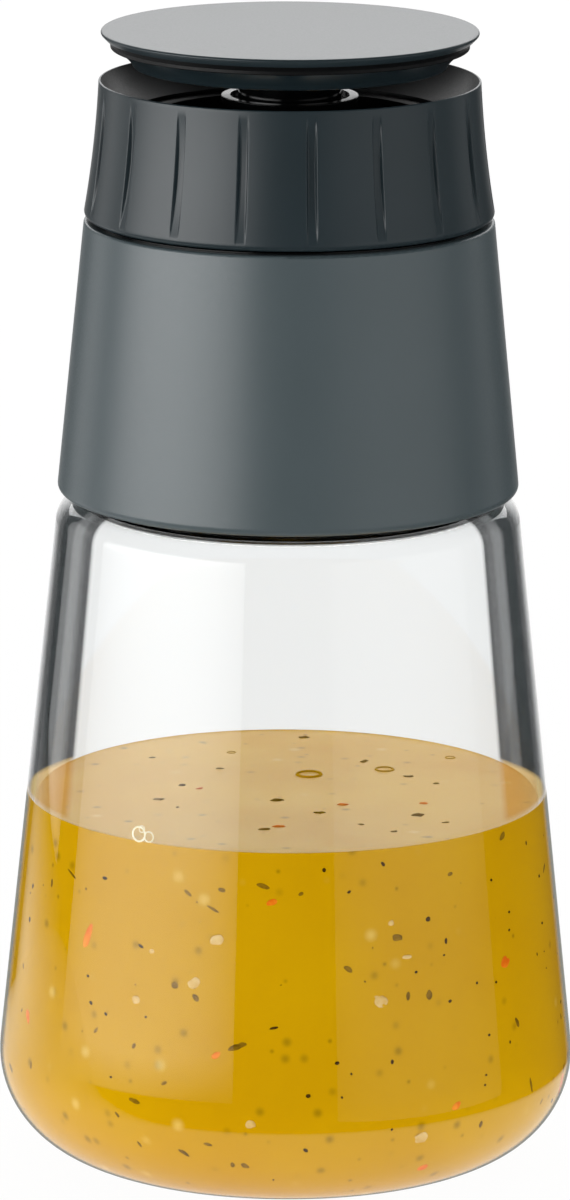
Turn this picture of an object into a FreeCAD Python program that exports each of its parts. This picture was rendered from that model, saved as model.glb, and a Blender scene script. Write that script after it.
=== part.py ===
"""Dressing shaker: a glass flask with a screw-on head whose lid rises when the fluted ring is turned.

The origin is the centre of the foot and +Z is up. The lid is drawn raised, ready to pour.
Each sub-part is written to its own file in parts/.
"""
import FreeCAD, Part

import math
import os

from FreeCAD import Vector

# Driving dimensions: lengths in millimetres, angles in degrees

# Clearances that several pieces share
fit_clearance = 0.05
running_gap = 0.3
cut_overrun = 1.0

# Glass flask
body_diameter = 80.4
foot_corner_radius = 14.0
shoulder_height = 93.6
shoulder_corner_radius = 4.0
glass_wall = 2.4
glass_floor = 3.0
neck_diameter = 46.0
neck_height = 26.4
neck_root_radius = 1.5
neck_rim_radius = 0.8

# Dressing in the flask
fill_height = 51.0

# Gasket on the rim of the neck
gasket_thickness = 2.0
gasket_inset = 0.3
gasket_overhang = 0.9

# Guide tube that stands over the neck
tube_step = 1.8
tube_wall = 2.4
tube_flange_width = 3.0
tube_flange_thickness = 1.2
tube_top_gap = 0.4
tube_slot_land = 2.4
o_ring_section = 1.4
o_ring_lift = 3.0

# Screw collar
thread_room = 1.5
skirt_wall = 1.5
skirt_foot_gap = 2.4
collar_flange_thickness = 2.0
deck_thickness = 1.75
upstand_height = 6.5
upstand_wall = 1.5
upstand_gap = 0.4
bead_depth = 0.8
bead_height = 1.5

# Grip sleeve
sleeve_foot_gap = 0.6
sleeve_foot_width = 6.04
sleeve_top_width = 2.3
sleeve_wall = 2.2
sleeve_step = 0.19
sleeve_foot_round = 1.0
sleeve_top_round = 0.4

# Glide washer under the twist ring
washer_thickness = 0.8
washer_inset = 1.3

# Cam sleeve inside the twist ring
cam_wall = 2.0
cam_turn = 75.0
cam_track_count = 3
snap_groove_depth = 0.8

# Twist ring
ring_height = 18.9
ring_line = 0.5
ring_overhang = 0.1
ring_draw = 2.14
ring_waist = 0.3
ring_rim_land = 0.26
ring_foot_round = 0.8
ring_lip_land = 0.4
ring_lip_thickness = 0.5
flute_count = 18
flute_phase = -83.6
flute_width = 1.25
flute_depth = 0.6
flute_floor_round = 0.3
flute_margin = 1.0
flute_run_out = 0.8

# Lid: disc, seal, pour cone, carrier and cam pins
lid_travel = 6.5
lid_seat_gap = 0.2
lid_rim_thickness = 0.2
lid_crown = 0.4
lid_chamfer_width = 0.8
lid_chamfer_height = 0.95
stem_diameter = 7.0
stem_length = 13.0
seal_thickness = 1.2
seal_edge_height = 0.55
seal_edge_round = 0.15
seal_bevel = 0.45
seal_step = 0.1
seal_width = 4.7
seal_seat_gap = 0.1
cone_step = 0.5
cone_flare_height = 2.15
cone_flare_bow = 0.2
cone_lip_radius = 0.4
cone_clearance = 0.2
hub_diameter = 19.0
hub_trumpet_radius = 5.5
hub_neck_length = 1.0
hub_tip_length = 3.0
hub_tip_radius = 3.0
arm_width = 4.4
arm_height = 5.0
arm_root_depth = 2.0
arm_phase = -90.0
pin_diameter = 3.0
pin_seat_depth = 4.0
pin_chamfer = 0.3
slot_play = 0.1

# Radii that follow, from the neck outwards
neck_radius = neck_diameter / 2
neck_bore_radius = neck_radius - glass_wall
tube_bore_radius = neck_bore_radius - tube_step
tube_radius = tube_bore_radius + tube_wall
cam_bore_radius = tube_radius + running_gap
cam_radius = cam_bore_radius + cam_wall
ring_bore_radius = cam_radius + fit_clearance
upstand_bore_radius = cam_radius + upstand_gap
upstand_radius = upstand_bore_radius + upstand_wall
skirt_bore_radius = neck_radius + thread_room
skirt_radius = skirt_bore_radius + skirt_wall
sleeve_foot_radius = skirt_radius + sleeve_foot_width
sleeve_top_radius = skirt_radius + sleeve_top_width
shoulder_radius = sleeve_foot_radius - sleeve_step
washer_radius = sleeve_top_radius - washer_inset
ring_foot_radius = sleeve_top_radius + ring_overhang
ring_rim_radius = ring_foot_radius - ring_draw
ring_lip_radius = cam_bore_radius + ring_lip_land
lid_radius = ring_rim_radius - ring_rim_land
lid_under_radius = lid_radius - lid_chamfer_width
seal_radius = lid_under_radius - seal_step
seal_foot_radius = seal_radius - seal_bevel
seal_bore_radius = seal_radius - seal_width
cone_top_radius = seal_foot_radius - cone_step
cone_edge_radius = ring_lip_radius - cone_clearance
hub_radius = hub_diameter / 2
stem_radius = stem_diameter / 2
arm_radius = tube_bore_radius - running_gap
pin_radius = pin_diameter / 2
pin_end_radius = cam_radius - running_gap
slot_width = pin_diameter + 2 * slot_play

# Heights that follow, from the foot upwards
rim_z = shoulder_height + neck_height
flange_z = rim_z + gasket_thickness
deck_z = flange_z + tube_flange_thickness + fit_clearance
deck_top_z = deck_z + deck_thickness
upstand_top_z = deck_top_z + upstand_height
washer_top_z = upstand_top_z + washer_thickness
ring_foot_z = washer_top_z + running_gap
sleeve_top_z = ring_foot_z - ring_line
sleeve_foot_z = shoulder_height + sleeve_foot_gap
ring_rim_z = ring_foot_z + ring_height
lid_edge_z = ring_rim_z + lid_seat_gap + lid_travel
lid_rim_z = lid_edge_z + lid_rim_thickness
lid_under_z = lid_edge_z - lid_chamfer_height
seal_foot_z = lid_under_z - seal_thickness
cone_edge_z = seal_foot_z - cone_flare_height
cone_foot_z = cone_edge_z - cone_lip_radius
hub_joint_z = cone_foot_z - hub_trumpet_radius - hub_neck_length
ring_lip_z = cone_foot_z - lid_travel
ring_seat_z = seal_foot_z - lid_travel - seal_seat_gap
ring_shoulder_z = ring_lip_z - ring_lip_thickness
cam_top_z = ring_shoulder_z - fit_clearance
cam_foot_z = deck_top_z + running_gap
tube_top_z = ring_lip_z - tube_top_gap
pin_open_z = tube_top_z - tube_slot_land - slot_play - slot_width / 2
pin_closed_z = pin_open_z - lid_travel
hub_tip_z = pin_open_z - hub_tip_length

UP = Vector(0, 0, 1)
ORIGIN = Vector(0, 0, 0)


def corner(radius, height, rounding=0.0, bow=0.0):
    """A corner of a turned outline; bow lifts the middle of the edge to the next corner off its chord."""
    return radius, height, rounding, bow


def corner_arc(before, here, after, rounding):
    """Start, middle and end of the round that replaces one corner of an outline."""
    back = (before - here).normalize()
    ahead = (after - here).normalize()
    half_angle = back.getAngle(ahead) / 2
    reach = rounding / math.tan(half_angle)
    bisector = (back + ahead).normalize()
    middle = here + bisector * (rounding / math.sin(half_angle) - rounding)
    return here + back * reach, middle, here + ahead * reach


def edge_between(start, end, bow):
    """A straight edge, or an arc whose middle stands off the chord by bow, to the right of its course."""
    if bow == 0:
        return Part.makeLine(start, end)
    course = (end - start).normalize()
    aside = course.cross(Vector(0, 1, 0))
    return Part.Arc(start, (start + end) / 2 - aside * bow, end).toShape()


def outline(corners):
    """A closed flat face in the XZ plane from corners listed in order."""
    points = [Vector(radius, 0, height) for radius, height, rounding, bow in corners]
    arcs = []
    for index, here in enumerate(points):
        rounding = corners[index][2]
        after = points[(index + 1) % len(points)]
        if rounding > 0:
            arcs.append(corner_arc(points[index - 1], here, after, rounding))
        else:
            arcs.append((here, here, here))
    edges = []
    for index, (start, middle, end) in enumerate(arcs):
        if corners[index][2] > 0:
            edges.append(Part.Arc(start, middle, end).toShape())
        following = arcs[(index + 1) % len(arcs)][0]
        if end.distanceToPoint(following) > Part.Precision.confusion():
            edges.append(edge_between(end, following, corners[index][3]))
    return Part.Face(Part.Wire(edges))


def turned(corners):
    """A solid of revolution about the axis of the flask."""
    return outline(corners).revolve(ORIGIN, UP, 360)


def tube_between(bore_radius, radius, foot, top):
    """A plain ring with square edges."""
    return turned([
        corner(bore_radius, foot),
        corner(radius, foot),
        corner(radius, top),
        corner(bore_radius, top),
    ])


def around(shape, angle):
    """A copy of a shape turned about the axis of the flask."""
    copy = shape.copy()
    copy.rotate(ORIGIN, UP, angle)
    return copy


def track_angles():
    """Directions of the three arms, pins, slots and cam tracks."""
    return [arm_phase + index * 360 / cam_track_count for index in range(cam_track_count)]


def radial_rod(radius, start, end, height):
    """A round rod that points outwards along X."""
    return Part.makeCylinder(radius, end - start, Vector(start, 0, height), Vector(1, 0, 0))


def body_taper():
    """Lean of the flask's side, which is tangent to the foot's corner and runs to the shoulder."""
    run = shoulder_radius - (body_diameter / 2 - foot_corner_radius)
    rise = shoulder_height - foot_corner_radius
    return math.asin(foot_corner_radius / math.hypot(run, rise)) - math.atan2(run, rise)


def side_radius(height, inset=0.0):
    """Radius of the flask's side at a height, or of a surface a given depth inside it."""
    taper = body_taper()
    return shoulder_radius + (shoulder_height - height) * math.tan(taper) - inset / math.cos(taper)


def sleeve_lean():
    """How much the grip sleeve's radius falls per unit of height."""
    return (sleeve_foot_radius - sleeve_top_radius) / (sleeve_top_z - sleeve_foot_z)


def sleeve_inside_radius(height):
    """Radius of the sleeve's inner wall at a height."""
    return sleeve_foot_radius - sleeve_wall - (height - sleeve_foot_z) * sleeve_lean()


def glass_flask():
    """Blown flask of even wall: rounded foot, leaning side, tight shoulder and straight neck."""
    inner_shoulder_z = shoulder_height - glass_wall
    inner_shoulder_radius = side_radius(inner_shoulder_z, glass_wall)
    return turned([
        corner(0, 0),
        corner(side_radius(0), 0, foot_corner_radius),
        corner(shoulder_radius, shoulder_height, shoulder_corner_radius),
        corner(neck_radius, shoulder_height, neck_root_radius),
        corner(neck_radius, rim_z, neck_rim_radius),
        corner(neck_bore_radius, rim_z, neck_rim_radius),
        corner(neck_bore_radius, inner_shoulder_z, neck_root_radius + glass_wall),
        corner(inner_shoulder_radius, inner_shoulder_z, shoulder_corner_radius - glass_wall),
        corner(side_radius(glass_floor, glass_wall), glass_floor, foot_corner_radius - glass_wall),
        corner(0, glass_floor),
    ])


def dressing():
    """The filling, up to its level surface."""
    inset = glass_wall + fit_clearance
    foot = glass_floor + fit_clearance
    return turned([
        corner(0, foot),
        corner(side_radius(foot, inset), foot, foot_corner_radius - inset),
        corner(side_radius(fill_height, inset), fill_height),
        corner(0, fill_height),
    ])


def neck_gasket():
    """Flat ring that the collar presses on the neck's rim."""
    return tube_between(neck_bore_radius + gasket_inset, neck_radius + gasket_overhang, rim_z, flange_z)


def screw_collar():
    """Skirt that screws on the neck, with a deck, a foot flange and a beaded upstand for the cam sleeve."""
    foot = shoulder_height + skirt_foot_gap
    flange_top = foot + collar_flange_thickness
    flange_radius = sleeve_inside_radius(flange_top) - fit_clearance
    bead_radius = upstand_bore_radius - bead_depth
    bead_foot = upstand_top_z - bead_height
    return turned([
        corner(skirt_bore_radius, foot),
        corner(flange_radius, foot),
        corner(flange_radius, flange_top),
        corner(skirt_radius, flange_top),
        corner(skirt_radius, deck_top_z),
        corner(upstand_radius, deck_top_z),
        corner(upstand_radius, upstand_top_z),
        corner(bead_radius, upstand_top_z),
        corner(bead_radius, bead_foot),
        corner(upstand_bore_radius, bead_foot - bead_depth),
        corner(upstand_bore_radius, deck_top_z),
        corner(tube_radius + fit_clearance, deck_top_z),
        corner(tube_radius + fit_clearance, deck_z),
        corner(skirt_bore_radius, deck_z),
    ])


def grip_sleeve():
    """Soft-touch shell over the collar, in line with the flask's side."""
    ledge_radius = upstand_radius + fit_clearance
    recess_radius = washer_radius + fit_clearance
    return turned([
        corner(sleeve_inside_radius(sleeve_foot_z), sleeve_foot_z),
        corner(sleeve_foot_radius, sleeve_foot_z, sleeve_foot_round),
        corner(sleeve_top_radius, sleeve_top_z, sleeve_top_round),
        corner(recess_radius, sleeve_top_z),
        corner(recess_radius, upstand_top_z),
        corner(ledge_radius, upstand_top_z),
        corner(ledge_radius, deck_top_z),
        corner(sleeve_inside_radius(deck_top_z), deck_top_z),
    ])


def glide_washer():
    """Slippery ring that carries the twist ring."""
    return tube_between(upstand_bore_radius, washer_radius, upstand_top_z, washer_top_z)


def o_ring_centre():
    """Radius and height of the middle of the O-ring's section."""
    return cam_bore_radius - fit_clearance - o_ring_section / 2, deck_top_z + o_ring_lift


def guide_slot():
    """Upright slot for one pin, round at both ends, pointing along X."""
    reach = tube_radius + cut_overrun
    start = tube_bore_radius - cut_overrun
    low = pin_closed_z - slot_play
    high = pin_open_z + slot_play
    middle = Part.makeBox(reach - start, slot_width, high - low, Vector(start, -slot_width / 2, low))
    ends = [radial_rod(slot_width / 2, start, reach, height) for height in (low, high)]
    return middle.fuse(ends)


def guide_tube():
    """Tube that the dressing pours through; its slots let the lid rise but not turn."""
    groove_radius, groove_z = o_ring_centre()
    groove_floor = groove_radius - o_ring_section / 2 - fit_clearance
    groove_half = o_ring_section / 2 + fit_clearance
    flange_radius = tube_radius + tube_flange_width
    flange_top = flange_z + tube_flange_thickness
    tube = turned([
        corner(tube_bore_radius, flange_z),
        corner(flange_radius, flange_z),
        corner(flange_radius, flange_top),
        corner(tube_radius, flange_top),
        corner(tube_radius, groove_z - groove_half),
        corner(groove_floor, groove_z - groove_half),
        corner(groove_floor, groove_z + groove_half),
        corner(tube_radius, groove_z + groove_half),
        corner(tube_radius, tube_top_z),
        corner(tube_bore_radius, tube_top_z),
    ])
    return tube.cut([around(guide_slot(), angle) for angle in track_angles()])


def tube_o_ring():
    """Seal between the guide tube and the turning cam sleeve."""
    radius, height = o_ring_centre()
    return Part.makeTorus(radius, o_ring_section / 2, Vector(0, 0, height), UP)


def cam_track():
    """Helical slot for one pin: it falls by the lid's travel over the ring's turn, against the clock."""
    start = cam_bore_radius - cut_overrun
    end = cam_radius + cut_overrun
    middle_radius = (start + end) / 2
    helix = Part.makeHelix(lid_travel * 360 / cam_turn, lid_travel, middle_radius, 0, True)
    slope = math.atan2(lid_travel, math.radians(cam_turn) * middle_radius)
    half_height = slot_width / 2 / math.cos(slope)
    section = Part.makePolygon([
        Vector(start, 0, -half_height),
        Vector(end, 0, -half_height),
        Vector(end, 0, half_height),
        Vector(start, 0, half_height),
        Vector(start, 0, -half_height),
    ])
    track = Part.Wire(helix.Edges).makePipeShell([section], True, True)
    track.translate(Vector(0, 0, pin_closed_z))
    track = around(track, cam_turn)
    open_end = radial_rod(slot_width / 2, start, end, pin_open_z)
    closed_end = around(radial_rod(slot_width / 2, start, end, pin_closed_z), cam_turn)
    return track.fuse([open_end, closed_end])


def cam_sleeve():
    """Sleeve fixed inside the twist ring, with three helical tracks and a groove for the collar's bead."""
    groove_radius = cam_radius - snap_groove_depth
    groove_foot = upstand_top_z - bead_height - running_gap
    groove_top = upstand_top_z + running_gap
    sleeve = turned([
        corner(cam_bore_radius, cam_foot_z),
        corner(cam_radius, cam_foot_z),
        corner(cam_radius, groove_foot - snap_groove_depth),
        corner(groove_radius, groove_foot),
        corner(groove_radius, groove_top),
        corner(cam_radius, groove_top),
        corner(cam_radius, cam_top_z),
        corner(cam_bore_radius, cam_top_z),
    ])
    return sleeve.cut([around(cam_track(), angle) for angle in track_angles()])


def ring_blank():
    """The twist ring before its flutes are cut: waisted outside, funnel and stepped bore inside."""
    blank = turned([
        corner(ring_bore_radius, ring_foot_z),
        corner(ring_foot_radius, ring_foot_z, 0, -ring_waist),
        corner(ring_rim_radius, ring_rim_z),
        corner(lid_radius, ring_rim_z),
        corner(seal_foot_radius + fit_clearance, ring_seat_z),
        corner(ring_lip_radius, ring_lip_z),
        corner(ring_lip_radius, ring_shoulder_z),
        corner(ring_bore_radius, ring_shoulder_z),
    ])
    foot_edges = []
    for edge in blank.Edges:
        box = edge.BoundBox
        if box.ZLength < fit_clearance and abs(box.XMax - ring_foot_radius) < fit_clearance:
            foot_edges.append(edge)
    return blank.makeFillet(ring_foot_round, foot_edges)


def flute():
    """Upright groove with an arc for its floor, so that it runs out at both ends, pointing along X."""
    foot = Vector(ring_foot_radius, 0, ring_foot_z)
    rim = Vector(ring_rim_radius, 0, ring_rim_z)
    waist = edge_between(foot, rim, -ring_waist)
    clear_margin = flute_margin - flute_run_out
    places = (clear_margin, waist.Length - clear_margin)
    low, high = [waist.valueAt(waist.getParameterByLength(place)) for place in places]
    half_length = waist.Length / 2 - flute_margin
    rise = flute_depth * ((1 + flute_run_out / half_length) ** 2 - 1)
    chord_share = low.distanceToPoint(high) / foot.distanceToPoint(rim)
    floor_bow = ring_waist * chord_share ** 2 + flute_depth + rise
    section = outline([
        corner(low.x + rise + cut_overrun, low.z),
        corner(high.x + rise + cut_overrun, high.z),
        corner(high.x + rise, high.z, 0, floor_bow),
        corner(low.x + rise, low.z),
    ])
    section.translate(Vector(0, -flute_width / 2, 0))
    groove = section.extrude(Vector(0, flute_width, 0))
    floor_edges = []
    for edge in groove.Edges:
        flat = edge.BoundBox.YLength < fit_clearance
        if flat and edge.BoundBox.XMin < high.x - fit_clearance:
            floor_edges.append(edge)
    return groove.makeFillet(flute_floor_round, floor_edges)


def twist_ring():
    """Fluted ring that the hand turns to raise or lower the lid."""
    pitch = 360 / flute_count
    groove = flute()
    return ring_blank().cut([around(groove, flute_phase + index * pitch) for index in range(flute_count)])


def lid_disc():
    """Plain round top with a bevelled underside and a stem down its middle."""
    stem_foot_z = lid_under_z - stem_length
    top_z = lid_rim_z + lid_crown
    crown_radius = (lid_radius ** 2 + lid_crown ** 2) / (2 * lid_crown)
    blank = turned([
        corner(0, stem_foot_z),
        corner(stem_radius, stem_foot_z),
        corner(stem_radius, lid_under_z),
        corner(lid_under_radius, lid_under_z),
        corner(lid_radius, lid_edge_z),
        corner(lid_radius, top_z),
        corner(0, top_z),
    ])
    return blank.common(Part.makeSphere(crown_radius, Vector(0, 0, top_z - crown_radius)))


def lid_seal():
    """Seal clamped under the disc: an upright edge that closes in the ring's funnel, bevelled above."""
    return turned([
        corner(seal_bore_radius, seal_foot_z),
        corner(seal_foot_radius, seal_foot_z, seal_edge_round),
        corner(seal_foot_radius, seal_foot_z + seal_edge_height),
        corner(seal_radius, lid_under_z),
        corner(seal_bore_radius, lid_under_z),
    ])


def pour_cone():
    """Flared plug under the seal; its trumpet-shaped underside turns the stream outwards."""
    bore_radius = stem_radius + fit_clearance
    spigot_radius = seal_bore_radius - fit_clearance
    return turned([
        corner(bore_radius, hub_joint_z),
        corner(hub_radius, hub_joint_z),
        corner(hub_radius, cone_foot_z, hub_trumpet_radius),
        corner(cone_edge_radius, cone_foot_z, cone_lip_radius),
        corner(cone_edge_radius, cone_edge_z, 0, -cone_flare_bow),
        corner(cone_top_radius, seal_foot_z),
        corner(spigot_radius, seal_foot_z),
        corner(spigot_radius, lid_under_z),
        corner(bore_radius, lid_under_z),
    ])


def lid_carrier():
    """Hub under the pour cone with three arms that hold the cam pins."""
    bore_radius = stem_radius + fit_clearance
    socket_foot_z = lid_under_z - stem_length - fit_clearance
    hub = turned([
        corner(0, hub_tip_z),
        corner(hub_radius, hub_tip_z, hub_tip_radius),
        corner(hub_radius, hub_joint_z),
        corner(bore_radius, hub_joint_z),
        corner(bore_radius, socket_foot_z),
        corner(0, socket_foot_z),
    ])
    arm_root = hub_radius - arm_root_depth
    arm_foot = pin_open_z - arm_height / 2
    bar_size = (arm_radius - arm_root, arm_width, arm_height)
    bar = Part.makeBox(*bar_size, Vector(arm_root, -arm_width / 2, arm_foot))
    arm = bar.common(Part.makeCylinder(arm_radius, arm_height, Vector(0, 0, arm_foot)))
    hole_start = arm_radius - pin_seat_depth
    hole = radial_rod(pin_radius + fit_clearance, hole_start, arm_radius + cut_overrun, pin_open_z)
    carrier = hub.fuse([around(arm, angle) for angle in track_angles()])
    return carrier.cut([around(hole, angle) for angle in track_angles()])


def cam_pins():
    """Three pins pressed into the arms, through the guide slots and into the cam tracks."""
    pin = radial_rod(pin_radius, arm_radius - pin_seat_depth, pin_end_radius, pin_open_z)
    outer_edges = [edge for edge in pin.Edges if edge.BoundBox.XMin > pin_end_radius - fit_clearance]
    pin = pin.makeChamfer(pin_chamfer, outer_edges)
    return Part.makeCompound([around(pin, angle) for angle in track_angles()])


def main():
    """Write every sub-part to its own file."""
    os.makedirs("parts", exist_ok=True)
    makers = [
        glass_flask,
        dressing,
        neck_gasket,
        screw_collar,
        grip_sleeve,
        glide_washer,
        guide_tube,
        tube_o_ring,
        cam_sleeve,
        twist_ring,
        lid_disc,
        lid_seal,
        pour_cone,
        lid_carrier,
        cam_pins,
    ]
    for maker in makers:
        maker().exportStep(os.path.join("parts", maker.__name__ + ".step"))


main()
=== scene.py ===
"""Looks of a dressing shaker: a clear glass flask with dressing in it and a grey pouring head.

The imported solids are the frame. The sleeve, the collar, the seals and the works of the head keep their
solids and get their finishes here. The flask, the dressing and what floats in it, the twist ring, the thread
in the collar, the lid and the plug under it are made as fine meshes.
"""
import math

import bpy
import numpy as np
from mathutils import Matrix, Vector


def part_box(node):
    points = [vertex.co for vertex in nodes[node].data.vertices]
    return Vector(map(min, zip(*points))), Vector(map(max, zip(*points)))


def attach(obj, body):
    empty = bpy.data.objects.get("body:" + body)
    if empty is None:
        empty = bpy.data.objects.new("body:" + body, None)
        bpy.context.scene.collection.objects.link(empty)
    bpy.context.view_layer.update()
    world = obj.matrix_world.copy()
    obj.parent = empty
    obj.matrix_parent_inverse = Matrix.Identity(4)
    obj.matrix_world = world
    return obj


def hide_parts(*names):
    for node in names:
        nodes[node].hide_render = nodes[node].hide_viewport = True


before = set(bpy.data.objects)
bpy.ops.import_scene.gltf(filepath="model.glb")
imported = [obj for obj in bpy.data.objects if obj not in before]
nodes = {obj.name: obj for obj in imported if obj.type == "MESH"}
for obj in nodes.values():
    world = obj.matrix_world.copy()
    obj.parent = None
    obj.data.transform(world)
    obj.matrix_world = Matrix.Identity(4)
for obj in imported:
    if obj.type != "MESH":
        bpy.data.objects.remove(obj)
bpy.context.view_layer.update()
scene = bpy.context.scene
scene.view_settings.view_transform = "Standard"
MM = 0.001

# Sizes in millimetres, from the solids where the two share them; the scene's wall is thinner
RIM_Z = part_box("glass_flask")[1].z / MM
FILL_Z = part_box("dressing")[1].z / MM
FOOT_ROUND = 14.0
SHOULDER_Z = 93.6
SHOULDER_RADIUS = 31.84
SHOULDER_ROUND = 4.0
SIDE_LEAN = math.radians(6.04)
WALL = 1.2
NECK_WALL = 2.4
FLOOR = 3.0
NECK_RADIUS = 23.0
NECK_ROOT_ROUND = 1.5
NECK_RIM_ROUND = 0.8
# Meshes: faces round a turned piece, the angle of a sharp edge, and the radius that counts as the axis
SEGMENTS = 256
SHARP_ANGLE = math.radians(40)
ON_AXIS = 1e-6
# Turns in degrees of a small rounding of a quarter circle
QUARTER_TURNS = (30, 60, 90)

# The photograph's camera, in metres and degrees, and its picture in pixels
CAMERA_PLACE = Vector((-0.00036, -1.112, 0.333))
CAMERA_LENS, CAMERA_SENSOR = 246.0, 36.0
CAMERA_PITCH, CAMERA_ROLL = 12.9, 0.26
PHOTO_WIDTH, PHOTO_HEIGHT = 570, 1200
camera_turn = (Matrix.Rotation(math.radians(90 - CAMERA_PITCH), 3, "X")
               @ Matrix.Rotation(math.radians(CAMERA_ROLL), 3, "Z"))


def node(tree, kind, inputs=None, **settings):
    """Add a node: settings are its own properties, inputs are values or sockets for its sockets.

    A node that is given as an input stands for its first output.
    """
    made = tree.nodes.new(kind)
    for name, value in settings.items():
        setattr(made, name, value)
    for key, value in (inputs or {}).items():
        if isinstance(value, bpy.types.Node):
            value = value.outputs[0]
        if isinstance(value, bpy.types.NodeSocket):
            tree.links.new(value, made.inputs[key])
        else:
            made.inputs[key].default_value = value
    return made


def linear(code):
    """The linear colour of an sRGB hex value."""
    parts = [int(code[i:i + 2], 16) / 255 for i in (1, 3, 5)]
    return tuple(c / 12.92 if c <= 0.04045 else ((c + 0.055) / 1.055) ** 2.4 for c in parts) + (1.0,)


def new_material(name):
    """An empty node material and its tree."""
    made = bpy.data.materials.new(name)
    made.use_nodes = True
    made.node_tree.nodes.clear()
    return made, made.node_tree


def per_mm(size):
    """The scale of a pattern whose features are about this many millimetres wide."""
    return 1 / (size * MM)


# Materials

# Widths of the patterns in millimetres
PATCH_WIDTH, TOOL_MARK_WIDTH, HAZE_WIDTH, CLOUD_WIDTH, MOTTLE_WIDTH = 14, 0.25, 9, 22, 1.6
# The part of a noise pattern's range that each pattern uses
GRAIN_RANGE, HAZE_RANGE, CLOUD_RANGE, MOTTLE_RANGE = (0.3, 0.7), (0.4, 0.9), (0.35, 0.7), (0.35, 0.65)
# Indices of refraction
GLASS_INDEX, PLASTIC_INDEX = 1.5, 1.58


def two_tones(tree, place, width, detail, dark, pale, span=(0.0, 1.0)):
    """A colour that drifts between two tones in patches; span is the part of the noise that it uses."""
    patches = node(tree, "ShaderNodeTexNoise", {"Vector": place, "Scale": per_mm(width), "Detail": detail})
    share = node(tree, "ShaderNodeMapRange", {0: patches.outputs["Fac"], 1: span[0], 2: span[1]})
    tone = node(tree, "ShaderNodeMix", {0: share, 6: linear(dark), 7: linear(pale)}, data_type="RGBA")
    return tone.outputs[2]


def moulded_plastic(name, dark, pale, rough, grain, depth, gloss=0.5):
    """A moulded plastic: two near tones in wide patches, and a fine grain in gloss and relief.

    The grain's width and depth are in millimetres. It is drawn coarser than a real one, which would not show.
    """
    made, tree = new_material(name)
    place = node(tree, "ShaderNodeTexCoord").outputs["Object"]
    tone = two_tones(tree, place, PATCH_WIDTH, 3.0, dark, pale)
    fine = node(tree, "ShaderNodeTexNoise", {"Vector": place, "Scale": per_mm(grain), "Detail": 4.0})
    sheen = node(tree, "ShaderNodeMapRange", {
        0: fine.outputs["Fac"], 1: GRAIN_RANGE[0], 2: GRAIN_RANGE[1], 3: rough[0], 4: rough[1]})
    relief = node(tree, "ShaderNodeBump", {"Height": fine.outputs["Fac"], "Distance": depth * MM})
    shader = node(tree, "ShaderNodeBsdfPrincipled", {
        "Base Color": tone, "Roughness": sheen, "Normal": relief, "IOR": PLASTIC_INDEX,
        "Specular IOR Level": gloss})
    node(tree, "ShaderNodeOutputMaterial", {"Surface": shader})
    return made


# Soft-touch coating over ABS: a velvety grey that gives broad, weak highlights
soft_touch = moulded_plastic("soft_touch_grey_coating", "#3d484b", "#424d51", rough=(0.33, 0.40),
                             grain=0.35, depth=0.006, gloss=0.6)
# ABS from an eroded mould: a darker blue grey with a satin sheen
grey_abs = moulded_plastic("eroded_grey_abs", "#1a2529", "#1e2a2f", rough=(0.345, 0.375),
                           grain=0.3, depth=0.001, gloss=0.42)
# The ring's ABS from the same mould finish, for the inside of the ring: drawn nearly black, with hardly any
# sheen, as painted shade where the lid's shadow falls in it
painted_shade_abs = moulded_plastic("eroded_grey_abs_painted_shade", "#090b0d", "#0c0f11", rough=(0.35, 0.45),
                           grain=0.3, depth=0.006, gloss=0.15)
# Polished black ABS: nearly black, with clear small reflections in the depth of the head
black_abs = moulded_plastic("polished_black_abs", "#08090a", "#0c0d0e", rough=(0.10, 0.16),
                            grain=1.2, depth=0.002)
# Black silicone rubber: matt and dense, with a soft bloom
silicone = moulded_plastic("black_silicone_rubber", "#060708", "#0b0c0d", rough=(0.42, 0.55),
                           grain=0.5, depth=0.004, gloss=0.2)

STEEL_ROUGH, TOOL_MARK_DEPTH = (0.2, 0.36), 0.004


def turned_steel():
    """Stainless steel pins off the lathe: bright, with tool marks that are drawn coarse enough to show."""
    made, tree = new_material("turned_stainless_steel")
    place = node(tree, "ShaderNodeTexCoord").outputs["Object"]
    marks = node(tree, "ShaderNodeTexNoise", {
        "Vector": place, "Scale": per_mm(TOOL_MARK_WIDTH), "Detail": 2.0})
    rough = node(tree, "ShaderNodeMapRange", {0: marks.outputs["Fac"], 3: STEEL_ROUGH[0], 4: STEEL_ROUGH[1]})
    relief = node(tree, "ShaderNodeBump", {"Height": marks.outputs["Fac"], "Distance": TOOL_MARK_DEPTH * MM})
    shader = node(tree, "ShaderNodeBsdfPrincipled", {
        "Base Color": linear("#c3c2bf"), "Metallic": 1.0, "Roughness": rough, "Normal": relief})
    node(tree, "ShaderNodeOutputMaterial", {"Surface": shader})
    return made


# Roughness of the faintest haze, and the tones of clear glass and of the light that passes it
HAZE_ROUGH, CLEAR_TONE, LIGHT_TONE = 0.012, "#f9fafa", "#f6f8f8"
# Painted shade: how dark the wall's colour is made from square on, 0, to edge on, 1, in place of the dark
# surroundings seen through the edge
EDGE_PAINTED_SHADE = ((0.44, CLEAR_TONE), (0.462, "#2a2b2c"), (0.51, "#2a2b2c"), (0.54, "#404243"),
              (0.585, "#3c3e3f"), (0.615, "#0c0f10"), (0.72, "#0c0f10"), (0.79, "#303233"),
              (0.86, "#898b8c"), (0.99, "#d0d2d2"))
# The same just over the filling: a painted yellow band in the edge that stands for the filling's surface seen
# in it
EDGE_PAINTED_AT_LEVEL = ((0.44, CLEAR_TONE), (0.48, "#e4b25f"), (0.80, "#d8a850"), (0.88, "#3a3a38"))
# How far over the filling, in millimetres, its far rim shows in a wall seen square on, where the painted
# yellow edge starts, and over what height a change of painted tone blends
FAR_RIM_RISE, LEVEL_RISE, LEVEL_BLEND = 16.5, 0.6, 0.8
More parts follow.
